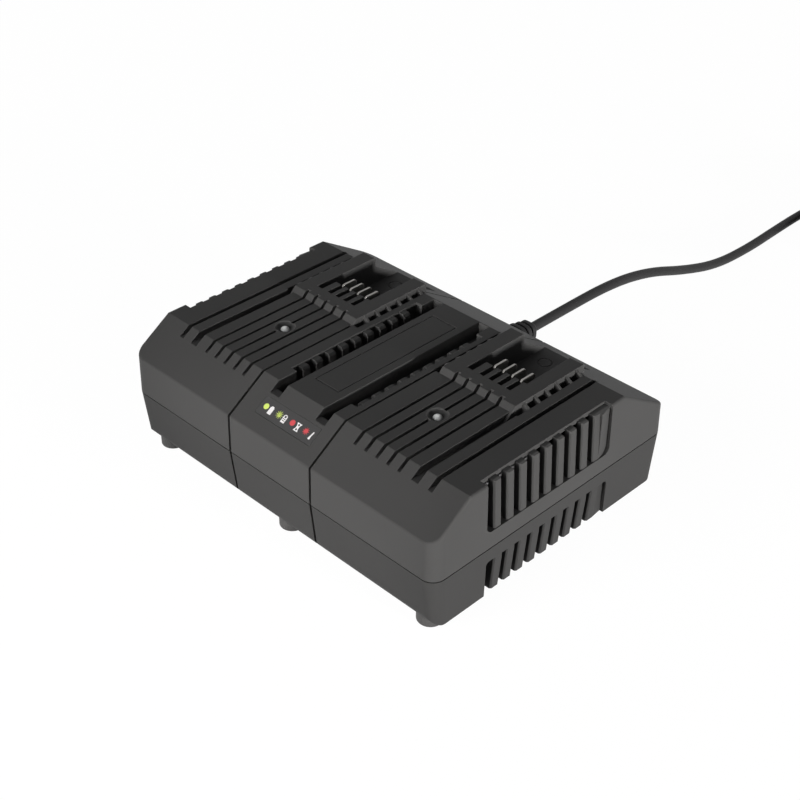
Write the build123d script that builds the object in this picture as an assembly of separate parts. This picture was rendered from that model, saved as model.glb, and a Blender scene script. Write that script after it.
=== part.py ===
from build123d import *
import os
from math import hypot, pi, radians, sqrt, tan

# Dual-bay power tool battery charger. Millimetres, Z up, front towards -Y, X along the long side.
# The origin is on the floor, under the middle of the housing.

# ---- driving dimensions: housing ----
length = 226
width = 176
foot_stand = 6.4
lower_height = 30.1
upper_height = 38.5
front_wall = 21.8
back_wall = 15.9
front_slope_run = 25.0
back_slope_run = 37.4
corner_radius = 7.5
upper_draft = 0.8
lower_end_lean = 0.6
lower_side_lean = 3.4
bottom_round = 6.0
top_round = 1.5
wall = 2.6
rib_wall = 1.6
parting_groove = 0.7
parting_groove_depth = 0.9
lip_height = 2.0
lip_wall = 1.2
fit_gap = 0.25

# ---- driving dimensions: top face ----
seam_width = 1.6
seam_depth = 1.8
left_seam_x = -32.5
right_seam_x = 28.8
groove_depth = 4.4
dock_centre = 56.6
groove_pitch = 7.5
groove_width = 2.0
groove_count = 5
wide_groove_x = 82.2
wide_groove_width = 4.6
outer_groove_x = 92.2
outer_groove_width = 2.8
outer_groove_end = 52.5

channel_x = 16.9
channel_width = 7.0
channel_depth = 9.0
channel_ledge = 5.0
channel_back = 50.0
frame_half_width = 8.9
frame_front = -49.3
frame_back = 37.2
frame_line = 0.8
frame_line_depth = 0.4

# ---- driving dimensions: cooling slots ----
slot_pitch = 9.2
fin_count = 9
slot_inset = 6.0
fin_chamfer = 0.9
upper_slot_start = -50.3
upper_slot_gap = 4.6
upper_row = (-51.5, 40.5)
upper_slot_floor = 9.4
upper_slot_corner = 4.0
upper_fin_step = 0.8
upper_fin_lean = 2.4
fin_cap_drop = 1.4
fin_cap_slope = 1.8
lower_slot_start = -49.0
lower_slot_gap = 4.0
lower_row = (-51.0, 41.0)
lower_slot_drop = 8.6
lower_slot_corner = 2.4
lower_fin_lean = 1.8
scoop_depth = 2.6
notch_start = -51.3
notch_gap = 4.6
notch_row_end = 40.5
side_notch_width = 4.1
side_rib_drop = 0.8
side_rib_chamfer = 1.2

# ---- driving dimensions: docks ----
platform_rise = 2.75
platform_half_width = 24.7
ramp_foot = -0.5
ramp_run = 2.7
platform_back = 55.8
platform_edge = 1.0
inner_pit_width = 3.6
outer_pit_width = 4.0
pit_rib_start = 8.1
pit_rib_pitch = 8.2
pit_rib_count = 6
pit_rib_width = 1.5
well_half_width = 15.8
well_depth = 14.0
well_front = 21.0
comb_front = 10.5
contact_first = -5.8
contact_pitch = 6.0
contact_count = 4
contact_thickness = 1.0
contact_front = 20.4
contact_length = 10.5
contact_stand = 3.3
comb_slot_width = 3.3
comb_side_slot = 4.2
terminal_block_height = 5.0
contact_tail = 6.0
ring_mark_offset = -6.0
ring_mark_y = 62.0
ring_mark_radius = 4.3
ring_mark_line = 0.7
ring_mark_depth = 0.4

# ---- driving dimensions: indicators and label ----
dish_y = -27.3
dish_diameter = 11.5
dish_depth = 2.6
lens_diameter = 5.2
lens_stem = 3.6
lens_reach = 6.0
label_length = 40.6
label_height = 10.4
label_thickness = 0.3
label_recess = 0.25
label_corner = 0.8

# ---- driving dimensions: feet and fixings ----
foot_radius = 7.0
foot_end_inset = 13.0
foot_side_inset = 12.5
foot_socket = 1.4
foot_round = 1.0
post_radius = 4.5
post_bore = 1.6
screw_shank = 1.5
screw_head_radius = 3.0
screw_head_height = 2.2
screw_well_radius = 3.6
screw_bite = 12.0
post_end_inset = 12.0
post_front_inset = 26.0
post_back_inset = 30.0
clamp_post_x = 24.0

# ---- driving dimensions: circuit board and its parts ----
board_end_room = 21.0
board_side_room = 36.0
board_thickness = 1.6
board_stand = 9.0
board_post_inset = 6.0
board_post_radius = 3.5
board_screw_length = 7.0

# ---- driving dimensions: mains lead ----
cord_diameter = 6.0
cord_height = 1.4
relief_length = 22.0
relief_rings = 4
relief_root = 13.0
relief_tip = 9.6
relief_neck = 8.0
relief_flange = 18.0
relief_flange_thickness = 2.4
relief_gap = 0.3
coil_turn_diameter = 68.0
coil_wide = 3
coil_high = 2
plug_width = 26.0
plug_height = 17.0
plug_length = 34.0
blade_length = 16.0
blade_height = 6.4
blade_thickness = 1.5
blade_spacing = 12.7

# ---- levels and places that follow ----
platform_inner = dock_centre - platform_half_width
platform_outer = dock_centre + platform_half_width
pit_inner = platform_inner - inner_pit_width
pit_outer = platform_outer + outer_pit_width
foot_x = length / 2 - foot_end_inset
foot_y = width / 2 - foot_side_inset
post_x = length / 2 - post_end_inset
post_front = width / 2 - post_front_inset
post_back = width / 2 - post_back_inset
board_length = length - 2 * board_end_room
board_width = width - 2 * board_side_room
board_post_x = board_length / 2 - board_post_inset
board_post_y = board_width / 2 - board_post_inset
base_z = foot_stand
parting_z = base_z + lower_height
top_z = parting_z + upper_height
front_wall_z = parting_z + front_wall
back_wall_z = parting_z + back_wall
front_face = -width / 2
back_face = width / 2
front_top_y = front_face + front_slope_run
back_top_y = back_face - back_slope_run
platform_z = top_z + platform_rise
groove_z = top_z - groove_depth
well_z = top_z - well_depth
floor_z = base_z + wall
board_z = floor_z + board_stand
board_top = board_z + board_thickness
beyond = 20.0


def block(x, y, z):
    """A box from three (low, high) ranges."""
    size = [high - low for low, high in (x, y, z)]
    middle = [(high + low) / 2 for low, high in (x, y, z)]
    return Pos(*middle) * Box(*size)


def mirrored(side, low, high):
    """The range low..high on the right, or its mirror on the left."""
    return (low, high) if side > 0 else (-high, -low)


def prism_y(points, y):
    """An (x, z) outline pushed along Y over a range."""
    face = make_face(Polyline(points, close=True))
    return Plane(origin=(0, y[1], 0), x_dir=(1, 0, 0), z_dir=(0, -1, 0)) * extrude(face, y[1] - y[0])


def prism_x(points, x):
    """A (y, z) outline pushed along X over a range."""
    face = make_face(Polyline(points, close=True))
    return Plane(origin=(x[0], 0, 0), x_dir=(0, 1, 0), z_dir=(1, 0, 0)) * extrude(face, x[1] - x[0])


def pin(x, y, z, radius):
    """An upright cylinder over a Z range."""
    return Pos(x, y, (z[0] + z[1]) / 2) * Cylinder(radius, z[1] - z[0])


def joined(solids):
    """All solids fused into one."""
    return solids[0] + solids[1:] if len(solids) > 1 else solids[0]


def less(solid, cutters):
    """A solid with a list of cutters taken away."""
    return solid - cutters


# ---- housing forms ----
def plan(z, inset, lean_x, lean_y):
    """The rounded outline at one level, brought in by a wall and by the lean of the sides."""
    radius = corner_radius - inset - min(lean_x, lean_y)
    outline = RectangleRounded(length - 2 * (inset + lean_x), width - 2 * (inset + lean_y), radius)
    return Pos(0, 0, z) * outline


def along_length(outline):
    """A (y, z) outline pushed along the whole length."""
    return Plane(origin=(-length / 2, 0, 0), x_dir=(0, 1, 0), z_dir=(1, 0, 0)) * extrude(outline, length)


def upper_form(inset):
    """The outside of the upper half, or the same form brought in by a wall."""
    sides = loft([plan(parting_z, inset, 0, 0), plan(top_z, inset, upper_draft, upper_draft)])
    skirt_z = parting_z - beyond
    points = [
        (front_face, skirt_z),
        (front_face, front_wall_z),
        (front_top_y, top_z),
        (back_top_y, top_z),
        (back_face, back_wall_z),
        (back_face, skirt_z),
    ]
    outline = make_face(Polyline(points, close=True))
    if inset > 0:
        outline = offset(outline, -inset, kind=Kind.INTERSECTION)
    return sides & along_length(outline)


def turn_under(side, edge_y, edge_z, lean, rise, radius):
    """The stock outside a full round between a level bottom and a side that leans out above it."""
    slant = hypot(lean, rise)
    reach = radius * (slant - lean) / rise
    top_y = edge_y + reach * lean / slant
    top_level = edge_z + reach * rise / slant
    points = [
        (side * (edge_y - reach), edge_z),
        (side * (edge_y - reach), edge_z - 1),
        (side * (top_y + 2), edge_z - 1),
        (side * (top_y + 2), top_level),
        (side * top_y, top_level),
    ]
    corner = make_face(Polyline(points, close=True))
    return along_length(corner - Pos(side * (edge_y - reach), edge_z + radius) * Circle(radius))


def lower_form(inset):
    """The outside of the lower half, or the same form brought in by a wall: steep ends
    with a plain lower edge, and long sides that lean in and turn under with a full round."""
    rise = lower_height - inset
    lean_x = lower_end_lean * rise / lower_height
    lean_y = lower_side_lean * rise / lower_height
    bottom_z = base_z + inset
    sides = loft([plan(bottom_z, inset, lean_x, lean_y), plan(parting_z, inset, 0, 0)])
    edge_y = width / 2 - inset - lean_y
    radius = bottom_round - inset
    return less(sides, [turn_under(side, edge_y, bottom_z, lean_y, rise, radius) for side in (-1, 1)])


def seam_cut(form, x):
    """A groove of even depth that follows the outside of a form at one X."""
    strip = block((x - seam_width / 2, x + seam_width / 2), (-width, width), (0, top_z + beyond))
    return (form(0) - form(seam_depth)) & strip


# ---- cooling slots ----
slot_inner = length / 2 - slot_inset


def slot_ranges(start, gap, row_start):
    """The open slots of a row along Y; the first one begins where the row begins."""
    ranges = [(start + k * slot_pitch, start + k * slot_pitch + gap) for k in range(fin_count)]
    ranges[0] = (row_start, ranges[0][1])
    return ranges


def fin_edge_cut(side, y, z, face):
    """A chamfer down the front edge of a fin whose outer face leans from face[0] to face[1]."""
    sections = []
    for level, x in zip(z, face):
        points = [
            (side * (x - fin_chamfer), y),
            (side * (x + slot_inset), y),
            (side * (x + slot_inset), y + fin_chamfer + slot_inset),
        ]
        sections.append(Pos(0, 0, level) * make_face(Polyline(points, close=True)))
    return loft(sections, ruled=True)


def slot_row(side, start, gap, row, z, face):
    """A row of slots through an end wall, the lean and chamfers of the fins, and the scoop that ends it."""
    outer = length / 2 + 1
    ranges = slot_ranges(start, gap, row[0])
    cuts = [block(mirrored(side, slot_inner, outer), span, z) for span in ranges]
    lean = [(side * face[0], z[0]), (side * outer, z[0]), (side * outer, z[1]), (side * face[1], z[1])]
    scoop_start = start + fin_count * slot_pitch
    cuts.append(prism_y(lean, (row[0], scoop_start)))
    cuts += [fin_edge_cut(side, span[1], z, face) for span in ranges]
    scoop = [
        (side * face[0], scoop_start),
        (side * outer, scoop_start),
        (side * outer, row[1]),
        (side * (length / 2 - scoop_depth), row[1]),
    ]
    cuts.append(Pos(0, 0, z[0]) * extrude(make_face(Polyline(scoop, close=True)), z[1] - z[0]))
    return cuts


def row_window(side, row, z, corner):
    """The outline that bounds a row of slots, with round corners at its closed edge."""
    outline = RectangleRounded(row[1] - row[0], z[1] - z[0], corner)
    window = Pos((row[0] + row[1]) / 2, (z[0] + z[1]) / 2) * outline
    x = slot_inner if side > 0 else -length / 2 - 1
    return Plane(origin=(x, 0, 0), x_dir=(0, 1, 0), z_dir=(1, 0, 0)) * extrude(window, slot_inset + 1)


def upper_end_slots(side):
    """Slots through an upper end wall and its top edge, with the fins leaning in towards the top."""
    low = parting_z + upper_slot_floor
    z = (low, top_z)
    face = (length / 2 - upper_fin_step, length / 2 - upper_fin_lean)
    cuts = slot_row(side, upper_slot_start, upper_slot_gap, upper_row, z, face)
    cap_low = top_z - fin_cap_drop
    outer = length / 2 + 1
    cap = [
        (side * slot_inner, top_z),
        (side * slot_inner, cap_low),
        (side * (slot_inner + upper_fin_lean), cap_low),
        (side * outer, cap_low - fin_cap_slope),
        (side * outer, top_z),
    ]
    cuts.append(prism_y(cap, upper_row))
    return joined(cuts) & row_window(side, upper_row, (low, top_z + beyond), upper_slot_corner)


def lower_end_slots(side):
    """Slots through a lower end wall that run out through the bottom edge."""
    high = parting_z - lower_slot_drop
    face = (length / 2 - lower_fin_lean, length / 2)
    cuts = slot_row(side, lower_slot_start, lower_slot_gap, lower_row, (base_z, high), face)
    return joined(cuts) & row_window(side, lower_row, (base_z - beyond, high), lower_slot_corner)


def end_backing(side, row, z):
    """The thick stretch of an end wall that the slots are cut in."""
    return block(mirrored(side, slot_inner, length / 2), (row[0] - wall, row[1] + wall), z)


# ---- top face ----
def groove(x, w, y, depth):
    """A straight groove with a level floor; it runs out where the front slope drops below the floor."""
    return block((x - w / 2, x + w / 2), y, (top_z - depth, platform_z + beyond))


def trough(x, w, y, depth):
    """The walls and floor that carry a groove under the top face."""
    reach = w / 2 + rib_wall
    return block((x - reach, x + reach), (y[0], y[1] + rib_wall), (top_z - depth - rib_wall, top_z))


def narrow_groove_x(side):
    first = -(groove_count - 1) / 2
    return [side * dock_centre + (first + k) * groove_pitch for k in range(groove_count)]


groove_run = (front_face, ramp_foot + ramp_run + 2.3)
wide_run = (front_face, ramp_foot)
outer_run = (front_face, outer_groove_end)
channel_run = (front_top_y - 2, channel_back)
ledge_run = (front_face, front_top_y - 2)
dish_gap = (dish_y - dish_diameter / 2, dish_y + dish_diameter / 2 - 0.3)
side_notch = (channel_x + channel_width / 2, channel_x + channel_width / 2 + side_notch_width)
notch_row = (notch_start, notch_row_end)


def channel_cuts(side):
    """The deep channel beside the centre panel, its shallow front ledge and the notches in its outer wall."""
    x = side * channel_x
    cuts = [
        groove(x, channel_width, channel_run, channel_depth),
        groove(x, channel_width, ledge_run, groove_depth),
    ]
    crest = top_z - side_rib_drop
    ribs = [
        (side * side_notch[0], crest - side_rib_chamfer),
        (side * (side_notch[0] + side_rib_chamfer), crest),
        (side * side_notch[1], crest),
        (side * side_notch[1], platform_z),
        (side * side_notch[0], platform_z),
    ]
    cuts.append(prism_y(ribs, notch_row))
    deep = (top_z - channel_depth - beyond, top_z + beyond)
    notches = slot_ranges(notch_start, notch_gap, notch_start)
    cuts += [block(mirrored(side, *side_notch), span, deep) for span in notches]
    shallow = (top_z - channel_depth, top_z + beyond)
    last = (notch_start + fin_count * slot_pitch, notch_row_end)
    cuts.append(block(mirrored(side, *side_notch), last, shallow))
    return cuts


def channel_keep(side):
    notch = (side_notch[0], side_notch[1] + rib_wall)
    row = (notch_row[0] - rib_wall, notch_row[1] + rib_wall)
    return [
        trough(side * channel_x, channel_width, (front_face, channel_back), channel_depth),
        block(mirrored(side, *notch), row, (top_z - channel_depth - rib_wall, top_z)),
    ]


def plain_cuts(side):
    """Grooves and pits that are cut before the dock platform goes on."""
    pit_z = (groove_z, top_z + beyond)
    return [
        groove(side * wide_groove_x, wide_groove_width, wide_run, groove_depth),
        groove(side * outer_groove_x, outer_groove_width, outer_run, groove_depth),
        block(mirrored(side, pit_inner, platform_inner), (ramp_foot, back_top_y), pit_z),
        block(mirrored(side, platform_outer, pit_outer), (ramp_foot, back_top_y), pit_z),
    ]


def plain_keep(side):
    floor = (groove_z - rib_wall, top_z)
    run = (ramp_foot, back_top_y + rib_wall)
    keep = [
        trough(side * wide_groove_x, wide_groove_width, wide_run, groove_depth),
        trough(side * outer_groove_x, outer_groove_width, outer_run, groove_depth),
        block(mirrored(side, pit_inner - rib_wall, platform_inner + rib_wall), run, floor),
        block(mirrored(side, platform_outer - rib_wall, pit_outer + rib_wall), run, floor),
    ]
    keep += [trough(x, groove_width, groove_run, groove_depth) for x in narrow_groove_x(side)]
    return keep


def platform(side):
    """The raised dock foot with its ramp, and the sloping ribs across the pits beside it."""
    low = groove_z
    points = [
        (ramp_foot - groove_depth, low),
        (ramp_foot, top_z),
        (ramp_foot + ramp_run, platform_z),
        (platform_back - platform_edge, platform_z),
        (platform_back, platform_z - platform_edge),
        (platform_back, low - 1),
        (back_top_y, low - 1),
        (back_top_y - 1, low),
    ]
    deck = prism_x(points, mirrored(side, platform_inner, platform_outer))
    brow = platform_z - 0.3
    ribs = []
    for deck_edge, rim in ((platform_inner, pit_inner), (platform_outer, pit_outer)):
        outline = [(side * deck_edge, low), (side * deck_edge, brow), (side * rim, top_z), (side * rim, low)]
        for k in range(pit_rib_count):
            y = pit_rib_start + k * pit_rib_pitch
            ribs.append(prism_y(outline, (y - pit_rib_width / 2, y + pit_rib_width / 2)))
    return [deck] + ribs


def contact_x(side):
    return [side * dock_centre + contact_first + k * contact_pitch for k in range(contact_count)]


def well_cuts(side):
    """The terminal well, open at the back, and the comb of slots in front of it."""
    centre = side * dock_centre
    z = (well_z, platform_z + beyond)
    cuts = [block((centre - well_half_width, centre + well_half_width), (well_front, width), z)]
    comb = (comb_front, well_front + 1)
    half = comb_slot_width / 2
    cuts += [block((x - half, x + half), comb, z) for x in contact_x(side)]
    edge = centre - well_half_width
    cuts.append(block((edge, edge + comb_side_slot), comb, z))
    cuts.append(ring_mark(centre + ring_mark_offset))
    return cuts


def ring_mark(x):
    """A plain ring sunk in the floor of the well."""
    z = (well_z - ring_mark_depth, well_z + 1)
    inner = ring_mark_radius - ring_mark_line
    return pin(x, ring_mark_y, z, ring_mark_radius) - pin(x, ring_mark_y, z, inner)


def well_keep(side):
    centre = side * dock_centre
    reach = well_half_width + 2
    return block((centre - reach, centre + reach), (comb_front - 2, back_face), (well_z - 2, top_z))


def dish_cuts(side):
    """The round dish that the indicator dome sits in."""
    x = side * dock_centre
    radius = dish_diameter / 2
    ball = (radius**2 + dish_depth**2) / (2 * dish_depth)
    seat_z = top_z - dish_depth
    return [
        Pos(x, dish_y, seat_z + ball) * Sphere(ball),
        pin(x, dish_y, (seat_z, top_z), lens_diameter / 2 + 0.1),
        pin(x, dish_y, (top_z - beyond, top_z), lens_stem / 2 + 0.2),
    ]


def slope_plane(lift):
    """A plane on the middle of the front slope."""
    rise = top_z - front_wall_z
    slope = hypot(front_slope_run, rise)
    normal = Vector(0, -rise / slope, front_slope_run / slope)
    middle = Vector(0, (front_face + front_top_y) / 2, (front_wall_z + top_z) / 2)
    return Plane(origin=middle + normal * lift, x_dir=(1, 0, 0), z_dir=normal)


def label_sheet(grow, lift, thickness):
    outline = RectangleRounded(label_length + grow, label_height + grow, label_corner + grow / 2)
    return slope_plane(lift) * extrude(outline, thickness)


# ---- posts for the housing screws ----
post_places = [(x, -post_front) for x in (-post_x, 0, post_x)]
post_places += [(x, post_back) for x in (-post_x, -clamp_post_x, clamp_post_x, post_x)]
screw_seat_z = base_z + wall + 5
screw_tip_z = parting_z + screw_bite
foot_places = [(x * foot_x, y * foot_y) for y in (-1, 1) for x in (-1, 0, 1)]
foot_names = ["front_left_foot", "front_centre_foot", "front_right_foot"]
foot_names += ["back_left_foot", "back_centre_foot", "back_right_foot"]
cord_z = parting_z + cord_height


def relief_hole():
    """The square-shouldered hole in the back wall that the strain relief is held in."""
    half = relief_neck / 2
    return block((-half, half), (back_face - wall - 1, back_face + 1), (cord_z - half, cord_z + half))


def flange_room():
    """The pocket inside the back wall that the strain relief's flange sits in."""
    half = relief_flange / 2 + fit_gap
    y = (relief_start - relief_flange_thickness - fit_gap, back_face - wall)
    return block((-half, half), y, (cord_z - half, cord_z + half))


def indicator_peg_places(side):
    return [(side * dock_centre + k * groove_pitch, dish_y) for k in (-1, 1)]


def upper_housing():
    outer = upper_form(0)
    rim = [
        edge
        for edge in outer.edges()
        if abs(edge.center().X) > length / 2 - 2 and edge.center().Z > back_wall_z + 1
    ]
    outer = fillet(rim, top_round)
    cavity = upper_form(wall)
    keep = [end_backing(side, upper_row, (parting_z + upper_slot_floor - wall, top_z)) for side in (-1, 1)]
    for side in (-1, 1):
        keep += channel_keep(side) + plain_keep(side) + [well_keep(side)]
        dish_boss = dish_diameter / 2 + rib_wall
        keep.append(pin(side * dock_centre, dish_y, (groove_z - rib_wall, top_z), dish_boss))
    keep += [pin(x, y, (parting_z, top_z), post_radius) for x, y in post_places]
    cavity = less(cavity, keep)
    shell = outer - cavity
    cuts = [seam_cut(upper_form, left_seam_x), seam_cut(upper_form, right_seam_x)]
    for side in (-1, 1):
        cuts += [upper_end_slots(side)] + channel_cuts(side) + plain_cuts(side)
    cuts += [pin(x, y, (parting_z - 1, screw_tip_z + 2), post_bore) for x, y in post_places]
    shell = less(shell, cuts)
    for side in (-1, 1):
        for piece in platform(side):
            shell = shell + piece
        front_run = (groove_run[0], dish_gap[0])
        back_run = (dish_gap[1], groove_run[1])
        middle = groove_count // 2
        for k, x in enumerate(narrow_groove_x(side)):
            runs = [front_run, back_run] if k == middle else [groove_run]
            shell = less(shell, [groove(x, groove_width, run, groove_depth) for run in runs])
        blades = [contact_slot(x) for x in contact_x(side)]
        shell = less(shell, well_cuts(side) + dish_cuts(side) + blades)
    shell = shell - label_sheet(0.3, -label_recess, 1)
    line_z = (top_z - frame_line_depth, top_z + 1)
    line = block((-frame_half_width, frame_half_width), (frame_front, frame_back), line_z)
    inner = frame_half_width - frame_line
    line = line - block((-inner, inner), (frame_front + frame_line, frame_back - frame_line), (0, top_z + 2))
    shell = shell - line
    pegs = [
        pin(x, y, (indicator_board_z + board_thickness, groove_z - rib_wall), 2)
        for side in (-1, 1)
        for x, y in indicator_peg_places(side)
    ]
    shell = joined([shell] + pegs)
    return less(shell, [relief_hole()])


def lower_housing():
    keep = [end_backing(side, lower_row, (base_z, parting_z - lower_slot_drop + wall)) for side in (-1, 1)]
    keep += [pin(x, y, (base_z, parting_z), post_radius) for x, y in post_places]
    keep += [
        pin(x, y, (base_z, board_z), board_post_radius)
        for x in (-board_post_x, board_post_x)
        for y in (-board_post_y, board_post_y)
    ]
    keep += [pin(x, y, (base_z, floor_z + foot_socket), foot_radius + rib_wall) for x, y in foot_places]
    shell = lower_form(0) - less(lower_form(wall), keep)
    shell = shell + seat_lip()
    rim = (lower_form(0) - lower_form(parting_groove_depth))
    groove_slab = block((-length, length), (-width, width), (parting_z - parting_groove, parting_z))
    cuts = [rim & groove_slab, seam_cut(lower_form, left_seam_x), seam_cut(lower_form, right_seam_x)]
    cuts += [lower_end_slots(side) for side in (-1, 1)]
    for x, y in post_places:
        cuts.append(pin(x, y, (0, screw_seat_z), screw_well_radius))
        cuts.append(pin(x, y, (0, parting_z + lip_height + 1), screw_shank + 0.2))
    for x in (-board_post_x, board_post_x):
        for y in (-board_post_y, board_post_y):
            cuts.append(pin(x, y, (board_z - board_screw_length, board_z + 1), post_bore - 0.4))
    cuts += [pin(x, y, (0, base_z + foot_socket), foot_radius + 0.1) for x, y in foot_places]
    cuts += [relief_hole(), flange_room()]
    return less(shell, cuts)


def seat_lip():
    """The tongue inside the rim that lines the two halves up."""
    reach = wall + fit_gap
    ring_z = (parting_z - wall, parting_z + lip_height)
    outline = RectangleRounded(length - 2 * reach, width - 2 * reach, corner_radius - reach)
    hollow = reach + lip_wall
    hollow = RectangleRounded(length - 2 * hollow, width - 2 * hollow, corner_radius - hollow)
    ring = Pos(0, 0, ring_z[0]) * extrude(outline - hollow, ring_z[1] - ring_z[0])
    root = RectangleRounded(length - 2 * wall + 1, width - 2 * wall + 1, corner_radius - wall + 0.5)
    root = Pos(0, 0, ring_z[0]) * extrude(root - hollow, wall - parting_groove)
    return ring + root


# ---- indicators ----
lens_base_z = top_z - dish_depth
lens_tip_z = lens_base_z - lens_reach
led_height = 1.2
indicator_board_z = lens_tip_z - fit_gap - led_height - board_thickness
indicator_board_length = 2 * groove_pitch + 6
indicator_board_width = 9.0


def indicator_lens(side):
    """A dome on a straight light pipe."""
    dome_radius = lens_diameter / 2
    shoulder = 0.6
    rise = dish_depth - shoulder - 0.2
    ball = (dome_radius**2 + rise**2) / (2 * rise)
    crown_z = lens_base_z + shoulder + rise
    stem = pin(0, 0, (lens_tip_z, lens_base_z), lens_stem / 2)
    disc = pin(0, 0, (lens_base_z, crown_z), dome_radius)
    dome = disc & (Pos(0, 0, crown_z - ball) * Sphere(ball))
    return Pos(side * dock_centre, dish_y, 0) * (stem + dome)


def indicator_board(side):
    x = side * dock_centre
    half_x = indicator_board_length / 2
    half_y = indicator_board_width / 2
    z = (indicator_board_z, indicator_board_z + board_thickness)
    return block((x - half_x, x + half_x), (dish_y - half_y, dish_y + half_y), z)


def indicator_leds():
    z = (indicator_board_z + board_thickness, indicator_board_z + board_thickness + led_height)
    return [block((x - 1.5, x + 1.5), (dish_y - 1.5, dish_y + 1.5), z) for x in (-dock_centre, dock_centre)]


def indicator_wires():
    z = (board_top, indicator_board_z)
    return [pin(side * dock_centre + dx, dish_y, z, 0.6) for side in (-1, 1) for dx in (-3, 3)]


# ---- contacts ----
contact_top = top_z + contact_stand
contact_bottom = well_z - 2 - contact_tail
block_front = well_front + 0.3


def contact(x):
    """An upright blade with a rounded nose and a narrower tail through the block."""
    back = contact_front + contact_length
    nose = 2.0
    step_z = well_z - 2 - 1
    foot = (contact_front + 3.5, back - 2)
    path = (
        Polyline(
            (contact_front, step_z),
            (contact_front, contact_top - 1),
            (contact_front + 1, contact_top),
            (back - nose, contact_top),
        )
        + RadiusArc((back - nose, contact_top), (back, contact_top - nose), nose)
        + Polyline(
            (back, contact_top - nose),
            (back, step_z),
            (foot[1], step_z),
            (foot[1], contact_bottom),
            (foot[0], contact_bottom),
            (foot[0], step_z),
            (contact_front, step_z),
        )
    )
    face = make_face(path)
    half = contact_thickness / 2
    return Plane(origin=(x - half, 0, 0), x_dir=(0, 1, 0), z_dir=(1, 0, 0)) * extrude(face, contact_thickness)


def contact_slot(x):
    """The opening that a blade passes through, with its clearance."""
    half = contact_thickness / 2 + 0.05
    y = (contact_front - 0.05, contact_front + contact_length + 0.05)
    return block((x - half, x + half), y, (contact_bottom - 1, contact_top + 1))


def terminal_block(side):
    """The insulator on the floor of the well: a plate with a raised wall between neighbouring blades."""
    centre = side * dock_centre
    half = well_half_width - 0.2
    back = contact_front + contact_length + 2.5
    base_top = well_z + terminal_block_height
    base = block((centre - half, centre + half), (block_front, back), (well_z, base_top))
    xs = contact_x(side)
    walls = []
    for left, right in zip(xs, xs[1:]):
        middle = (left + right) / 2
        span = (middle - 0.7, middle + 0.7)
        walls.append(block(span, (block_front, back - 2), (well_z, top_z - 4)))
    return joined([base] + walls) - joined([contact_slot(x) for x in xs])


def contact_wires():
    """A short lead from each blade's tail down to the circuit board."""
    y = contact_front + contact_length / 2 + 0.75
    return [pin(x, y, (board_top, contact_bottom), 0.9) for side in (-1, 1) for x in contact_x(side)]


# ---- inside ----
def main_circuit_board():
    plate = RectangleRounded(board_length, board_width, 3)
    plate = Pos(0, 0, board_z) * extrude(plate, board_thickness)
    holes = [pin(x, y, (0, top_z), post_bore + 0.2) for x, y in board_screw_places()]
    return less(plate, holes)


def board_screw_places():
    return [(x, y) for x in (-board_post_x, board_post_x) for y in (-board_post_y, board_post_y)]


def screw(x, y, seat, tip, shank, head, up):
    """A pan head screw; its head is above the seat, or below it when the screw is driven upwards."""
    body = pin(x, y, (min(seat, tip), max(seat, tip)), shank)
    head_z = (seat, seat + screw_head_height) if up else (seat - screw_head_height, seat)
    return body + pin(x, y, head_z, head)


def board_screws():
    tip = board_z - board_screw_length + 1
    shank = post_bore - 0.4
    return [screw(x, y, board_top, tip, shank, screw_head_radius, True) for x, y in board_screw_places()]


def housing_screws():
    return [
        screw(x, y, screw_seat_z, screw_tip_z, screw_shank, screw_head_radius, False)
        for x, y in post_places
    ]


core_place = (-28.0, -14.0)
core_length = 38.0
core_width = 15.0
core_height = 32.0
core_leg = 6.0
core_centre_leg = 11.0
winding_wall = 7.0


def transformer_core():
    """Two E halves round the winding: an outer frame with a centre leg."""
    x, y = core_place
    half = core_length / 2
    z0 = board_top + 1.5
    frame = block((x - half, x + half), (y - core_width / 2, y + core_width / 2), (z0, z0 + core_height))
    leg = core_centre_leg / 2
    through = (y - core_width, y + core_width)
    opening = (z0 + core_leg, z0 + core_height - core_leg)
    spans = [(x - half + core_leg, x - leg), (x + leg, x + half - core_leg)]
    return less(frame, [block(span, through, opening) for span in spans])


def transformer_winding():
    """The bobbin's winding, an upright rounded sleeve round the centre leg, on a foot."""
    x, y = core_place
    z0 = board_top + 1.5 + core_leg + 0.2
    high = core_height - 2 * core_leg - 0.4
    leg = core_centre_leg / 2 + 0.2
    deep = core_width / 2 + 0.2
    window = core_length / 2 - core_leg - 0.2
    sleeve = RectangleRounded(2 * window, 2 * (deep + winding_wall), 4)
    sleeve = Pos(x, y, z0) * extrude(sleeve, high)
    sleeve = sleeve - block((x - leg, x + leg), (y - deep, y + deep), (z0 - 1, z0 + high + 1))
    feet = [
        block((x - window, x + window), span, (board_top, z0 + 1))
        for span in ((y - deep - winding_wall, y - deep), (y + deep, y + deep + winding_wall))
    ]
    return joined([sleeve] + feet)


bulk_front_room = 22.0
bulk_place = (14.0, bulk_front_room - board_width / 2)
bulk_radius = 9.0
bulk_height = 31.0
output_radius = 5.0
output_height = 20.0
output_back_rooms = (26.0, 14.0)
output_places = [(x, board_width / 2 - room) for room in output_back_rooms for x in (-8.0, 4.0)]


def can(x, y, radius, height):
    """An electrolytic can, stepped in above its rolled foot."""
    step_z = board_top + 3
    foot = pin(x, y, (board_top, step_z), radius)
    return foot + pin(x, y, (step_z, board_top + height), radius - 0.3)


def bulk_capacitor():
    return can(*bulk_place, bulk_radius, bulk_height)


def output_capacitors():
    return [can(x, y, output_radius, output_height) for x, y in output_places]


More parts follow.
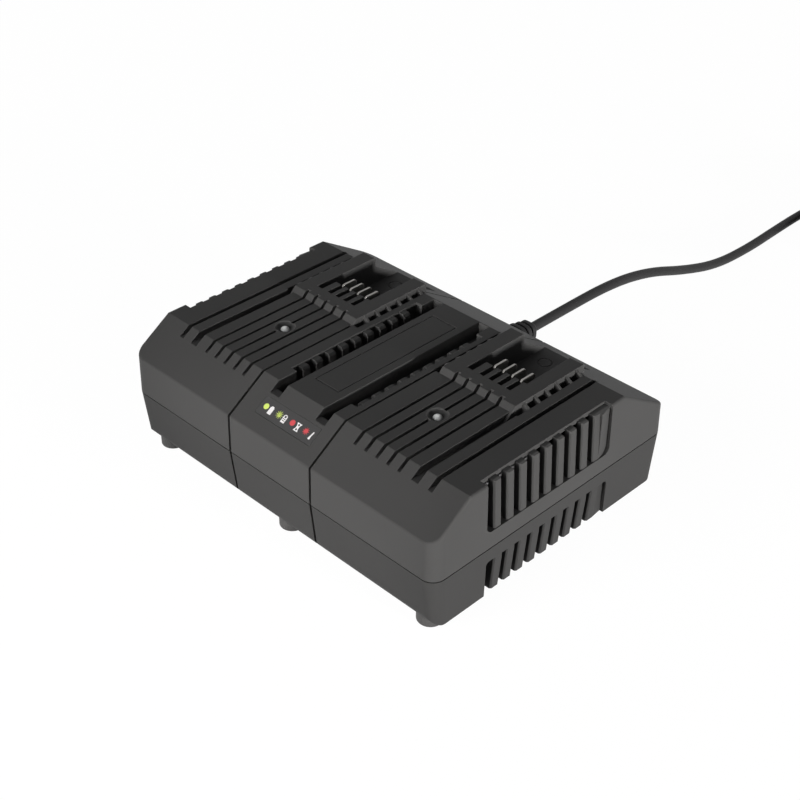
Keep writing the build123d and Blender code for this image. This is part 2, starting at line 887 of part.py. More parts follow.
dock_to_sink = 17.4
sink_front_room = 10.0
sink_length = 56.0
sink_x = dock_centre + dock_to_sink
sink_front = sink_front_room - board_width / 2
sink_y = (sink_front, sink_front + sink_length)
sink_height = 26.0
sink_base = 3.0
sink_fins = 6
sink_fin = 1.4
sink_reach = 12.0


def heat_sink(side):
    """An extruded comb: a plate with level fins on its outer face."""
    plate = block(mirrored(side, sink_x, sink_x + sink_base), sink_y, (board_top, board_top + sink_height))
    gap = (sink_height - sink_fin) / (sink_fins - 1)
    fins = []
    for k in range(sink_fins):
        low = board_top + k * gap
        fins.append(block(mirrored(side, sink_x, sink_x + sink_reach), sink_y, (low, low + sink_fin)))
    return joined([plate] + fins)


transistor_width = 10.0
transistor_height = 15.0
transistor_thickness = 4.5
transistor_end_room = 16.0


def power_transistors():
    z = (board_top + 3, board_top + 3 + transistor_height)
    x = (sink_x - transistor_thickness, sink_x)
    bodies = []
    for side in (-1, 1):
        for y in (sink_y[0] + transistor_end_room, sink_y[1] - transistor_end_room):
            span = (y - transistor_width / 2, y + transistor_width / 2)
            body = block(mirrored(side, *x), span, z)
            leg_x = mirrored(side, x[0] + 1, x[0] + 2)
            legs = [block(leg_x, (y + dy - 0.5, y + dy + 0.5), (board_top, z[0])) for dy in (-3, 0, 3)]
            bodies.append(joined([body] + legs))
    return bodies


choke_to_post = 22.0
choke_place = (30.0, post_back - choke_to_post)
choke_radius = 13.0
choke_hole = 5.0
choke_height = 8.0
choke_edge = 1.6
fuse_place = (14.0, 10.0)
fuse_length = 20.0
fuse_radius = 2.6


def input_choke():
    """A wound ring that lies flat on the board, with its edges broken."""
    x, y = choke_place
    ring = pin(x, y, (board_top, board_top + choke_height), choke_radius)
    ring = ring - pin(x, y, (board_top - 1, board_top + choke_height + 1), choke_hole)
    return chamfer(ring.edges().filter_by(GeomType.CIRCLE), choke_edge)


def input_fuse():
    """A glass tube fuse with two end caps, in two clips."""
    x, y = fuse_place
    z = board_top + 4.0
    tube = Pos(x, y, z) * Rot(0, 90, 0) * Cylinder(fuse_radius - 0.3, fuse_length)
    caps = []
    for s in (-1, 1):
        end = s * (fuse_length / 2 - 2.5)
        caps.append(Pos(x + end, y, z) * Rot(0, 90, 0) * Cylinder(fuse_radius, 5))
        caps.append(block((x + end - 2, x + end + 2), (y - 1.5, y + 1.5), (board_top, z)))
    return joined([tube] + caps)


# ---- feet ----
def foot(x, y):
    """A round rubber foot, set in a shallow socket, with a rounded tread."""
    body = pin(x, y, (0, base_z + foot_socket), foot_radius)
    tread = body.edges().filter_by(GeomType.CIRCLE).sort_by(Axis.Z)[0]
    return fillet(tread, foot_round)


# ---- mains lead ----
relief_start = back_face - wall - 0.3
relief_end = back_face + relief_length
relief_ring_pitch = (relief_length - 1) / relief_rings


def relief_section(y, size, high):
    """A square section with full rounds, across the lead at one Y."""
    plane = Plane(origin=(0, y, cord_z), x_dir=(-1, 0, 0), z_dir=(0, 1, 0))
    return plane * RectangleRounded(size, high, min(size, high) * 0.36)


def strain_relief():
    """A ribbed sleeve that tapers towards the lead, held by a flange inside the back wall."""
    core = loft([
        relief_section(back_face + 0.3, relief_neck + 1.5, relief_neck + 1.5),
        relief_section(relief_end, relief_neck, relief_neck),
    ])
    neck = relief_section(relief_start - 0.1, relief_neck - 0.3, relief_neck - 0.3)
    neck = extrude(neck, back_face + 0.4 - relief_start)
    flange = relief_section(relief_start - relief_flange_thickness, relief_flange, relief_flange * 0.8)
    flange = extrude(flange, relief_flange_thickness)
    rings = []
    for k in range(relief_rings):
        share = k / (relief_rings - 1)
        size = relief_root + (relief_tip - relief_root) * share
        y = back_face + 0.3 + k * relief_ring_pitch
        rings.append(extrude(relief_section(y, size, size * 0.94), relief_ring_pitch * 0.62))
    sleeve = joined([core, neck, flange] + rings)
    start = relief_start - relief_flange_thickness - 1
    bore = Plane(origin=(0, start, cord_z), x_dir=(1, 0, 0), z_dir=(0, 1, 0)) * Cylinder(
        cord_diameter / 2, relief_end - start + 1, align=(Align.CENTER, Align.CENTER, Align.MIN)
    )
    return sleeve - bore


floor_lift = 0.1
cord_floor = cord_diameter / 2 + floor_lift
cord_inner_end = relief_start - relief_flange_thickness - 4
coil_outer = (coil_turn_diameter + coil_wide * cord_diameter) / 2
coil_centre = (40.0, 438.0)
coil_ring_wide = coil_wide * cord_diameter
coil_ring_high = coil_high * cord_diameter
cord_end_y = coil_centre[1] - sqrt(coil_outer**2 - (coil_centre[0] - cord_diameter / 2) ** 2) - relief_gap
cord_points = [
    (0, cord_inner_end, cord_z),
    (0, 135, cord_z),
    (0, 186, cord_z - 0.6),
    (0.8, 224, 30.5),
    (2.0, 261, 17.0),
    (2.6, 299, 6.2),
    (2.0, 338, cord_floor),
    (0.6, 376, cord_floor),
    (0, cord_end_y, cord_floor),
]


def turn_radii(points):
    """The largest even arc at each inner point of a route."""
    radii = []
    for a, b, c in zip(points, points[1:], points[2:]):
        before = Vector(*b) - Vector(*a)
        after = Vector(*c) - Vector(*b)
        half_turn = radians(before.get_angle(after)) / 2
        radii.append(0.45 * min(before.length, after.length) / tan(half_turn))
    return radii


def tube_along(points, radius):
    path = FilletPolyline(*points, radius=turn_radii(points))
    start = Vector(*points[0])
    heading = Vector(*points[1]) - start
    section = Plane(origin=start, z_dir=heading) * Circle(radius)
    return sweep(section, path=path)


def power_cord():
    radii = turn_radii(cord_points)
    print("cord radii", [round(r) for r in radii])
    tube = tube_along(cord_points, cord_diameter / 2)
    path = FilletPolyline(*cord_points, radius=radii)
    print("cord run", round(path.length), "tube share", round(tube.volume / (path.length * pi * 9), 4))
    return tube


def cord_coil():
    """The outer shape of the wound length: a low round ring."""
    x, y = coil_centre
    middle = coil_turn_diameter / 2
    ring = RectangleRounded(coil_ring_wide, coil_ring_high, cord_diameter / 2)
    ring = Pos(middle, floor_lift + coil_ring_high / 2) * ring
    return Pos(x, y, 0) * revolve(Plane.XZ * ring, Axis.Z)


mains_wire_run = 32.0
mains_wire_spacing = 3.0
mains_wire_radius = 0.9


def mains_wires():
    """Two cores from the end of the sheath down to the board."""
    wires = []
    drop_y = cord_inner_end - mains_wire_run
    for s in (-1, 1):
        x = s * mains_wire_spacing / 2
        points = [(x, cord_inner_end, cord_z), (x, drop_y, cord_z), (x, drop_y, board_top)]
        wires.append(tube_along(points, mains_wire_radius))
    return wires


plug_tail_width = 12.0
plug_x = coil_centre[0] + coil_turn_diameter / 2 + cord_diameter
plug_reach = plug_x - plug_tail_width / 2 - coil_centre[0]
plug_back_y = coil_centre[1] - sqrt(coil_outer**2 - plug_reach**2) - relief_gap
plug_centre = (plug_x, plug_back_y - plug_length)


def plug_body():
    """A moulded two-blade plug lying on its side, with a waist for the fingers."""
    x, y = plug_centre
    middle = floor_lift + plug_height / 2
    plane = Plane(origin=(x, y, middle), x_dir=(1, 0, 0), z_dir=(0, 1, 0))
    waist = 0.85
    sizes = [
        (0, plug_width, plug_height),
        (0.35, plug_width * waist, plug_height * waist),
        (0.7, plug_width * waist, plug_height * waist),
        (1, plug_tail_width, plug_tail_width * 0.8),
    ]
    sections = [
        plane.offset(share * plug_length) * RectangleRounded(wide, high, high * 0.24)
        for share, wide, high in sizes
    ]
    return loft(sections)


def plug_pins():
    x, y = plug_centre
    middle = floor_lift + plug_height / 2
    z = (middle - blade_height / 2, middle + blade_height / 2)
    pins = []
    for s in (-1, 1):
        centre = x + s * blade_spacing / 2
        span = (centre - blade_thickness / 2, centre + blade_thickness / 2)
        pins.append(block(span, (y - blade_length, y), z))
    return pins


# ---- write one STEP for each piece ----
def write(name, shape):
    solids = shape if isinstance(shape, list) else shape.solids()
    result = solids[0] if len(solids) == 1 else Compound(children=list(solids))
    export_step(result, f"parts/{name}.step")


def main():
    os.makedirs("parts", exist_ok=True)
    write("upper_housing", upper_housing())
    write("lower_housing", lower_housing())
    write("legend_label", label_sheet(0, -label_recess, label_thickness))
    for side, name in ((-1, "left"), (1, "right")):
        write(f"{name}_indicator_lens", indicator_lens(side))
        write(f"{name}_indicator_board", indicator_board(side))
        write(f"{name}_terminal_block", terminal_block(side))
        write(f"{name}_heat_sink", heat_sink(side))
        for k, x in enumerate(contact_x(side)):
            write(f"{name}_contact_{k + 1}", contact(x))
    write("indicator_leds", indicator_leds())
    write("indicator_wires", indicator_wires())
    write("contact_wires", contact_wires())
    write("main_circuit_board", main_circuit_board())
    write("board_screws", board_screws())
    write("housing_screws", housing_screws())
    write("transformer_core", transformer_core())
    write("transformer_winding", transformer_winding())
    write("bulk_capacitor", bulk_capacitor())
    write("output_capacitors", output_capacitors())
    write("power_transistors", power_transistors())
    write("input_choke", input_choke())
    write("input_fuse", input_fuse())
    for name, (x, y) in zip(foot_names, foot_places):
        write(name, foot(x, y))
    write("strain_relief", strain_relief())
    write("mains_wires", mains_wires())
    write("power_cord", power_cord())
    write("cord_coil", cord_coil())
    write("plug_body", plug_body())
    write("plug_pins", plug_pins())


main()
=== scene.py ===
import math

import bmesh
import bpy
from mathutils import Matrix, Vector


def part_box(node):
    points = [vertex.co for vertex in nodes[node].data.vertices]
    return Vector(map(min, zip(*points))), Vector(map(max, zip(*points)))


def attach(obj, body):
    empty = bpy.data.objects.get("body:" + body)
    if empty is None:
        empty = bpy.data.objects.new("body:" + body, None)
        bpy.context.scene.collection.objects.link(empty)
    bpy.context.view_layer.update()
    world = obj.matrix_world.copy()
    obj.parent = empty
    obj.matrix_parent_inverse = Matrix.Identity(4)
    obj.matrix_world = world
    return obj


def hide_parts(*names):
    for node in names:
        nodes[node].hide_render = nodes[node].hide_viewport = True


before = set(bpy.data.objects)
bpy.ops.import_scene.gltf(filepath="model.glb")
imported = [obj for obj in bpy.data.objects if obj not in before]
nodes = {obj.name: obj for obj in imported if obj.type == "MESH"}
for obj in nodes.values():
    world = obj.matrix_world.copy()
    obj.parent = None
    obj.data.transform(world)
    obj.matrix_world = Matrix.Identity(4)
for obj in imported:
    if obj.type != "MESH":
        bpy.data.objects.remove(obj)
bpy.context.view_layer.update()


# ---- camera ----
# One camera looks down on the front right corner of the charger from about 80 cm away, as
# someone who stands at the bench sees it. Its level line is tilted by under half a degree.

camera_place = Vector((0.45888, -0.46018, 0.49840))
camera_forward = Vector((-0.57557, 0.58155, -0.57491))
camera_right = Vector((0.70734, 0.70684, 0.00686))

camera_data = bpy.data.cameras.new("camera")
camera_data.sensor_fit = "HORIZONTAL"
camera_data.sensor_width = 36
camera_data.lens = 66.59
camera_up = camera_right.cross(camera_forward)
camera = bpy.data.objects.new("camera", camera_data)
turn = Matrix((camera_right, camera_up, -camera_forward)).transposed()
camera.matrix_world = Matrix.Translation(camera_place) @ turn.to_4x4()
bpy.context.scene.collection.objects.link(camera)
bpy.context.scene.camera = camera
bpy.context.scene.view_settings.view_transform = "Standard"


# ---- floor and light ----
# A pale floor that shows white to the eye and in reflections, and keeps the charger's soft
# shadow. Broad lamps stand low in front and to the right, with a weak one behind.

def add_node(material, kind, **inputs):
    """A shader node with its inputs set by name."""
    node = material.node_tree.nodes.new(kind)
    for name, value in inputs.items():
        node.inputs[name.replace("_", " ")].default_value = value
    return node


def seen_ray(tree):
    """1 for rays from the camera, from reflections and through clear pieces, otherwise 0."""
    path = tree.nodes.new("ShaderNodeLightPath")
    reading = path.outputs["Is Camera Ray"]
    for name in ("Is Glossy Ray", "Is Transmission Ray"):
        either = tree.nodes.new("ShaderNodeMath")
        either.operation = "MAXIMUM"
        tree.links.new(reading, either.inputs[0])
        tree.links.new(path.outputs[name], either.inputs[1])
        reading = either.outputs[0]
    return reading


floor_material = bpy.data.materials.new("pale_floor")
floor_material.use_nodes = True
floor_tree = floor_material.node_tree
floor_shader = floor_tree.nodes["Principled BSDF"]
floor_shader.inputs["Base Color"].default_value = (0.62, 0.62, 0.62, 1)
floor_shader.inputs["Roughness"].default_value = 0.9
floor_glow = add_node(floor_material, "ShaderNodeEmission", Color=(1, 1, 1, 1), Strength=1.08)
floor_mix = add_node(floor_material, "ShaderNodeMixShader")
floor_share = add_node(floor_material, "ShaderNodeMath")
floor_share.operation = "MULTIPLY"
floor_share.inputs[1].default_value = 0.9
floor_tree.links.new(seen_ray(floor_tree), floor_share.inputs[0])
floor_tree.links.new(floor_share.outputs[0], floor_mix.inputs["Fac"])
floor_tree.links.new(floor_shader.outputs["BSDF"], floor_mix.inputs[1])
floor_tree.links.new(floor_glow.outputs["Emission"], floor_mix.inputs[2])
floor_tree.links.new(floor_mix.outputs[0], floor_tree.nodes["Material Output"].inputs["Surface"])

floor_mesh = bpy.data.meshes.new("floor")
floor_reach = 12.0
floor_drop = 0.0002
corners = [(-1, -1), (1, -1), (1, 1), (-1, 1)]
floor_points = [(x * floor_reach, y * floor_reach, -floor_drop) for x, y in corners]
floor_mesh.from_pydata(floor_points, [], [(0, 1, 2, 3)])
floor = bpy.data.objects.new("floor", floor_mesh)
floor_mesh.materials.append(floor_material)
bpy.context.scene.collection.objects.link(floor)


def lamp(name, place, aim, size, power, colour, mirrored=True):
    """A square soft lamp that points at a spot, and shows in gloss or not."""
    data = bpy.data.lights.new(name, "AREA")
    data.size = size
    data.energy = power
    data.color = colour
    light = bpy.data.objects.new(name, data)
    light.location = place
    light.rotation_euler = (Vector(aim) - Vector(place)).to_track_quat("-Z", "Y").to_euler()
    light.visible_glossy = mirrored
    bpy.context.scene.collection.objects.link(light)


middle = (0, 0, 0.04)
lamp("front_lamp", (-0.35, -2.1, 0.74), middle, size=1.0, power=36, colour=(1.0, 0.985, 0.975))
lamp("right_lamp", (2.1, 0.1, 0.20), middle, size=0.3, power=57, colour=(1.0, 0.98, 0.96))
lamp("back_lamp", (-1.7, 1.5, 0.25), middle, size=0.4, power=8, colour=(1.0, 1.0, 1.0), mirrored=False)

# a soft pool of light on the middle of the front wall
pool_data = bpy.data.lights.new("front_pool", "SPOT")
pool_data.energy = 220
pool_data.color = (1.0, 0.97, 0.94)
pool_data.spot_size = math.radians(6.9)
pool_data.spot_blend = 1.0
pool_data.shadow_soft_size = 0.12
pool = bpy.data.objects.new("front_pool", pool_data)
pool.location = (0.25, -1.6, 0.16)
pool_aim = Vector((0.02, -0.088, 0.055))
pool.rotation_euler = (pool_aim - pool.location).to_track_quat("-Z", "Y").to_euler()
bpy.context.scene.collection.objects.link(pool)

world = bpy.data.worlds.new("studio")
bpy.context.scene.world = world
world.use_nodes = True
world_tree = world.node_tree
sky = world_tree.nodes["Background"]
sky.inputs["Color"].default_value = (1, 1, 1, 1)
strength = world_tree.nodes.new("ShaderNodeMapRange")
strength.inputs["To Min"].default_value = 0.045
strength.inputs["To Max"].default_value = 1.0
world_tree.links.new(seen_ray(world_tree), strength.inputs["Value"])
world_tree.links.new(strength.outputs[0], sky.inputs["Strength"])


# ---- mains lead ----
# A round two-core lead with a soft black sheath. It leaves the relief straight, comes down
# to the table in a long curve, and the rest is wound in a flat coil of two layers.

lead_diameter = 0.006
lead_on_table = 0.0031
lead_height = 0.0379
relief_mouth_y = 0.110
coil_centre = (0.040, 0.438)
coil_radii = (0.040, 0.034, 0.028)
coil_layer = lead_diameter
coil_to_last_bend = 0.014
plug_back_y = 0.4114
plug_axis_z = 0.0086
points_per_turn = 16
jog_span = 0.35

lead_route = [
    (0, relief_mouth_y - 0.004, lead_height),
    (0, 0.135, lead_height),
    (0, 0.186, lead_height - 0.0006),
    (0.0008, 0.224, 0.0305),
    (0.0020, 0.261, 0.0170),
    (0.0026, 0.299, 0.0062),
    (0.0020, 0.338, lead_on_table),
    (0.0006, 0.376, lead_on_table),
    (0, 0.408, lead_on_table),
]


def eased(value, start, span):
    """0 before start, 1 after start + span, smooth between."""
    share = min(max((value - start) / span, 0), 1)
    return share * share * (3 - 2 * share)


# the turns: in along the lower layer, up, and out along the upper layer
inward_jogs = (1.5, 3.5)
outward_jogs = (6.8, 8.8)
climb_start = 5.15
last_half_turn = 11.0
turn_step = coil_radii[0] - coil_radii[1]
control_reach = 1 / math.cos(math.pi / points_per_turn)
steps = int(last_half_turn / 2 * points_per_turn)
for k in range(1, steps + 1):
    half_turns = k * 2 / points_per_turn
    radius = coil_radii[0]
    radius -= turn_step * sum(eased(half_turns, jog, jog_span) for jog in inward_jogs)
    radius += turn_step * sum(eased(half_turns, jog, jog_span) for jog in outward_jogs)
    height = lead_on_table + coil_layer * eased(half_turns, climb_start, jog_span)
    angle = math.pi * half_turns
    x = coil_centre[0] - radius * control_reach * math.cos(angle)
    y = coil_centre[1] + radius * control_reach * math.sin(angle)
    lead_route.append((x, y, height))
plug_side_x = coil_centre[0] + coil_radii[0]
last_bend_y = coil_centre[1] - coil_to_last_bend
lead_route.append((plug_side_x, last_bend_y, lead_on_table + coil_layer))
lead_route.append((plug_side_x, plug_back_y, plug_axis_z))

lead_curve = bpy.data.curves.new("mains_lead", "CURVE")
lead_curve.dimensions = "3D"
lead_curve.bevel_depth = lead_diameter / 2
lead_curve.bevel_resolution = 8
lead_curve.use_fill_caps = True
lead_curve.resolution_u = 8
lead_spline = lead_curve.splines.new("NURBS")
lead_spline.points.add(len(lead_route) - 1)
for point, place in zip(lead_spline.points, lead_route):
    point.co = (*place, 1)
lead_spline.order_u = 3
lead_spline.use_endpoint_u = True
lead = bpy.data.objects.new("mains_lead", lead_curve)
bpy.context.scene.collection.objects.link(lead)


def grain_group():
    """Fine moulded grain: height for a bump, and a slow drift for colour and roughness."""
    group = bpy.data.node_groups.new("moulded_grain", "ShaderNodeTree")
    for name in ("Grain Size", "Drift Size"):
        group.interface.new_socket(name, in_out="INPUT", socket_type="NodeSocketFloat")
    for name in ("Height", "Drift"):
        group.interface.new_socket(name, in_out="OUTPUT", socket_type="NodeSocketFloat")
    tree = group.nodes
    entry, leave = tree.new("NodeGroupInput"), tree.new("NodeGroupOutput")
    place = tree.new("ShaderNodeTexCoord")
    fine, coarse, slow = (tree.new("ShaderNodeTexNoise") for _ in range(3))
    for noise, detail in ((fine, 3.0), (coarse, 2.0), (slow, 2.0)):
        noise.inputs["Detail"].default_value = detail
        group.links.new(place.outputs["Object"], noise.inputs["Vector"])
    fine_scale, coarse_scale, slow_scale = (tree.new("ShaderNodeMath") for _ in range(3))
    for divide, top, noise, socket in (
        (fine_scale, 1.0, fine, "Grain Size"),
        (coarse_scale, 0.45, coarse, "Grain Size"),
        (slow_scale, 1.0, slow, "Drift Size"),
    ):
        divide.operation = "DIVIDE"
        divide.inputs[0].default_value = top
        group.links.new(entry.outputs[socket], divide.inputs[1])
        group.links.new(divide.outputs[0], noise.inputs["Scale"])
    both = tree.new("ShaderNodeMix")
    both.inputs["Factor"].default_value = 0.4
    group.links.new(fine.outputs["Fac"], both.inputs["A"])
    group.links.new(coarse.outputs["Fac"], both.inputs["B"])
    group.links.new(both.outputs["Result"], leave.inputs["Height"])
    group.links.new(slow.outputs["Fac"], leave.inputs["Drift"])
    return group


moulded_grain = grain_group()


def edge_group():
    """The small radius that every moulded or pressed edge has, and a mask of where it lies."""
    group = bpy.data.node_groups.new("broken_edges", "ShaderNodeTree")
    group.interface.new_socket("Radius", in_out="INPUT", socket_type="NodeSocketFloat")
    group.interface.new_socket("Normal", in_out="OUTPUT", socket_type="NodeSocketVector")
    group.interface.new_socket("Edge", in_out="OUTPUT", socket_type="NodeSocketFloat")
    tree = group.nodes
    entry, leave = tree.new("NodeGroupInput"), tree.new("NodeGroupOutput")
    rounded = tree.new("ShaderNodeBevel")
    rounded.samples = 6
    group.links.new(entry.outputs["Radius"], rounded.inputs["Radius"])
    face = tree.new("ShaderNodeNewGeometry")
    likeness = tree.new("ShaderNodeVectorMath")
    likeness.operation = "DOT_PRODUCT"
    group.links.new(rounded.outputs["Normal"], likeness.inputs[0])
    group.links.new(face.outputs["True Normal"], likeness.inputs[1])
    edge = tree.new("ShaderNodeMapRange")
    edge.inputs["From Min"].default_value = 0.995
    edge.inputs["From Max"].default_value = 0.80
    group.links.new(likeness.outputs["Value"], edge.inputs["Value"])
    group.links.new(edge.outputs[0], leave.inputs["Edge"])
    group.links.new(rounded.outputs["Normal"], leave.inputs["Normal"])
    return group


broken_edges = edge_group()


def moulded(
    name, dark, light, rough, grain_size, grain_depth,
    drift_size=0.05, rough_spread=0.06, metallic=0.0, specular=0.5, edge_radius=0.0003, painted_edge_highlight=1.12,
):
    """A finish whose colour and roughness drift a little, with a fine grain and a painted highlight on
    its edges.
    """
    material = bpy.data.materials.new(name)
    material.use_nodes = True
    tree = material.node_tree
    shader = tree.nodes["Principled BSDF"]
    shader.inputs["Metallic"].default_value = metallic
    shader.inputs["Specular IOR Level"].default_value = specular
    grain = tree.nodes.new("ShaderNodeGroup")
    grain.node_tree = moulded_grain
    grain.inputs["Grain Size"].default_value = grain_size
    grain.inputs["Drift Size"].default_value = drift_size
    colour = tree.nodes.new("ShaderNodeMix")
    colour.data_type = "RGBA"
    colour.inputs["A"].default_value = (*dark, 1)
    colour.inputs["B"].default_value = (*light, 1)
    tree.links.new(grain.outputs["Drift"], colour.inputs["Factor"])
    edges = tree.nodes.new("ShaderNodeGroup")
    edges.node_tree = broken_edges
    edges.inputs["Radius"].default_value = edge_radius
    # painted highlight: along the edge mask the colour is lifted to a lighter tone
    painted_edge_light = tree.nodes.new("ShaderNodeMix")
    painted_edge_light.data_type = "RGBA"
    painted_edge_light.inputs["B"].default_value = (*(min(c * painted_edge_highlight, 1) for c in light), 1)
    tree.links.new(edges.outputs["Edge"], painted_edge_light.inputs["Factor"])
    tree.links.new(colour.outputs["Result"], painted_edge_light.inputs["A"])
    tree.links.new(painted_edge_light.outputs["Result"], shader.inputs["Base Color"])
    roughness = tree.nodes.new("ShaderNodeMapRange")
    roughness.inputs["To Min"].default_value = rough - rough_spread
    roughness.inputs["To Max"].default_value = rough + rough_spread
    tree.links.new(grain.outputs["Height"], roughness.inputs["Value"])
    tree.links.new(roughness.outputs[0], shader.inputs["Roughness"])
    bump = tree.nodes.new("ShaderNodeBump")
    tree.links.new(edges.outputs["Normal"], bump.inputs["Normal"])
    bump.inputs["Strength"].default_value = 1.0
    bump.inputs["Distance"].default_value = grain_depth
    tree.links.new(grain.outputs["Height"], bump.inputs["Height"])
    tree.links.new(bump.outputs["Normal"], shader.inputs["Normal"])
    return material


sheath = moulded(
    "lead_sheath", (0.022, 0.022, 0.023), (0.033, 0.033, 0.034),
    rough=0.5, grain_size=0.0009, grain_depth=0.00001, drift_size=0.03, specular=0.10,
)
lead_curve.materials.append(sheath)
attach(lead, "root")
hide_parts("power_cord", "cord_coil")


# ---- plug ----
# A moulded two-blade plug on the lead's far end, lying beside the coil. Its sides are waisted
# for the fingers, with raised grip bars on both broad faces, and the blades are plated brass.

def set_out_tree():
    """Copies of one form, in a row from a starting place, each turned and sized in even steps."""
    tree = bpy.data.node_groups.new("set_out", "GeometryNodeTree")
    kinds = {
        "Form": "NodeSocketObject", "Count": "NodeSocketInt", "Start": "NodeSocketVector",
        "Step": "NodeSocketVector", "Turn Step": "NodeSocketVector", "First Size": "NodeSocketVector",
        "Last Size": "NodeSocketVector", "Finish": "NodeSocketMaterial",
    }
    tree.interface.new_socket("Geometry", in_out="INPUT", socket_type="NodeSocketGeometry")
    for name, kind in kinds.items():
        tree.interface.new_socket(name, in_out="INPUT", socket_type=kind)
    tree.interface.new_socket("Geometry", in_out="OUTPUT", socket_type="NodeSocketGeometry")
    make, join = tree.nodes.new, tree.links.new
    entry, leave = make("NodeGroupInput"), make("NodeGroupOutput")
    row = make("GeometryNodeMeshLine")
    join(entry.outputs["Count"], row.inputs["Count"])
    join(entry.outputs["Start"], row.inputs["Start Location"])
    join(entry.outputs["Step"], row.inputs["Offset"])
    number = make("GeometryNodeInputIndex")
    turn = make("ShaderNodeVectorMath")
    turn.operation = "SCALE"
    join(entry.outputs["Turn Step"], turn.inputs[0])
    join(number.outputs[0], turn.inputs["Scale"])
    last = make("ShaderNodeMath")
    last.operation = "SUBTRACT"
    last.inputs[1].default_value = 1
    join(entry.outputs["Count"], last.inputs[0])
    share = make("ShaderNodeMath")
    share.operation = "DIVIDE"
    join(number.outputs[0], share.inputs[0])
    join(last.outputs[0], share.inputs[1])
    size = make("ShaderNodeMix")
    size.data_type = "VECTOR"
    first_vector, last_vector, mixed_vector = size.inputs[4], size.inputs[5], size.outputs[1]
    join(share.outputs[0], size.inputs["Factor"])
    join(entry.outputs["First Size"], first_vector)
    join(entry.outputs["Last Size"], last_vector)
    form = make("GeometryNodeObjectInfo")
    join(entry.outputs["Form"], form.inputs["Object"])
    place = make("GeometryNodeInstanceOnPoints")
    join(row.outputs["Mesh"], place.inputs["Points"])
    join(form.outputs["Geometry"], place.inputs["Instance"])
    join(turn.outputs[0], place.inputs["Rotation"])
    join(mixed_vector, place.inputs["Scale"])
    real = make("GeometryNodeRealizeInstances")
    join(place.outputs["Instances"], real.inputs["Geometry"])
    paint = make("GeometryNodeSetMaterial")
    join(real.outputs["Geometry"], paint.inputs["Geometry"])
    join(entry.outputs["Finish"], paint.inputs["Material"])
    join(paint.outputs["Geometry"], leave.inputs[0])
    return tree


set_out = set_out_tree()


def rounded_frame(wide, high, radius, steps=6):
    """The points of a rectangle with round corners, about its centre."""
    points = []
    for quarter, (sx, sz) in enumerate(((1, 1), (-1, 1), (-1, -1), (1, -1))):
        for k in range(steps + 1):
            turn = math.pi / 2 * (quarter + k / steps)
            x = sx * (wide / 2 - radius) + radius * math.cos(turn)
            z = sz * (high / 2 - radius) + radius * math.sin(turn)
            points.append((x, z))
    return points


def add_skin(form, rings, closed_ring=False):
    """Lays faces over rings of points that all have the same count, and closes the ends."""
    loops = [[form.verts.new(point) for point in ring] for ring in rings]
    pairs = list(zip(loops, loops[1:]))
    if closed_ring:
        pairs.append((loops[-1], loops[0]))
    for low, high in pairs:
        for k in range(len(low)):
            n = (k + 1) % len(low)
            form.faces.new((low[k], low[n], high[n], high[k]))
    if not closed_ring:
        form.faces.new(loops[0])
        form.faces.new(loops[-1])


def as_mesh(name, form):
    """The mesh of a built form, with its faces pointing outwards."""
    bmesh.ops.recalc_face_normals(form, faces=form.faces)
    mesh = bpy.data.meshes.new(name)
    form.to_mesh(mesh)
    form.free()
    return mesh


def skinned(name, rings, closed_ring=False, shade_smooth=True):
    """A mesh of one skin over rings of points, with its sides smooth or flat."""
    form = bmesh.new()
    add_skin(form, rings, closed_ring)
    mesh = as_mesh(name, form)
    smooth = [shade_smooth and len(face.vertices) == 4 for face in mesh.polygons]
    mesh.polygons.foreach_set("use_smooth", smooth)
    return mesh


def shown(name, mesh, material=None):
    """A finished piece of the charger, from its mesh."""
    if material:
        mesh.materials.clear()
        mesh.materials.append(material)
    piece = bpy.data.objects.new(name, mesh)
    bpy.context.scene.collection.objects.link(piece)
    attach(piece, "root")
    return piece


def repeated(name, mesh, count, finish, start=(0, 0, 0), step=(0, 0, 0), turn=(0, 0, 0), sizes=None):
    """A plain mesh of even copies of one mesh."""
    first, last = sizes or ((1, 1, 1), (1, 1, 1))
    form = bpy.data.objects.new(name + "_form", mesh)
    holder = bpy.data.objects.new(name + "_holder", bpy.data.meshes.new(name + "_seed"))
    for part in (form, holder):
        bpy.context.scene.collection.objects.link(part)
    pattern = holder.modifiers.new("pattern", "NODES")
    pattern.node_group = set_out
    values = {
        "Form": form, "Count": count, "Start": start, "Step": step, "Turn Step": turn,
        "First Size": first, "Last Size": last, "Finish": finish,
    }
    for socket in set_out.interface.items_tree:
        if socket.name in values:
            pattern[socket.identifier] = values[socket.name]
    graph = bpy.context.evaluated_depsgraph_get()
    result = bpy.data.meshes.new_from_object(holder.evaluated_get(graph))
    result.name = name
    for part in (holder, form):
        bpy.data.objects.remove(part)
    return result


def dress(node_name, material):
    """Gives a CAD node its finish."""
    mesh = nodes[node_name].data
    mesh.materials.clear()
    mesh.materials.append(material)


plug_material = moulded(
    "plug_rubber", (0.034, 0.034, 0.035), (0.052, 0.052, 0.053),
    rough=0.5, grain_size=0.0008, grain_depth=0.00003, drift_size=0.02,
)
pin_material = moulded(
    "pin_plating", (0.60, 0.57, 0.50), (0.70, 0.67, 0.60),
    rough=0.28, grain_size=0.0006, grain_depth=0.000005, drift_size=0.01, rough_spread=0.05,
    metallic=1.0,
)
dress("plug_body", plug_material)
dress("plug_pins", pin_material)
plug_low, plug_high = (Vector(corner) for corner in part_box("plug_body"))
plug_middle = (plug_low + plug_high) / 2
grip_bar_length = 0.0135
grip_bar_width = 0.0014
grip_bar_end_width = 0.00084
grip_bar_height = 0.0020
grip_bar_end_height = 0.0008
grip_bar_round = 0.0003
grip_count = 5
grip_pitch = 0.0026
grip_from_front = 0.0125
waist_share = 0.85
waist_half_height = (plug_high.z - plug_low.z) / 2 * waist_share
grip_end = (grip_bar_end_width, grip_bar_end_height)
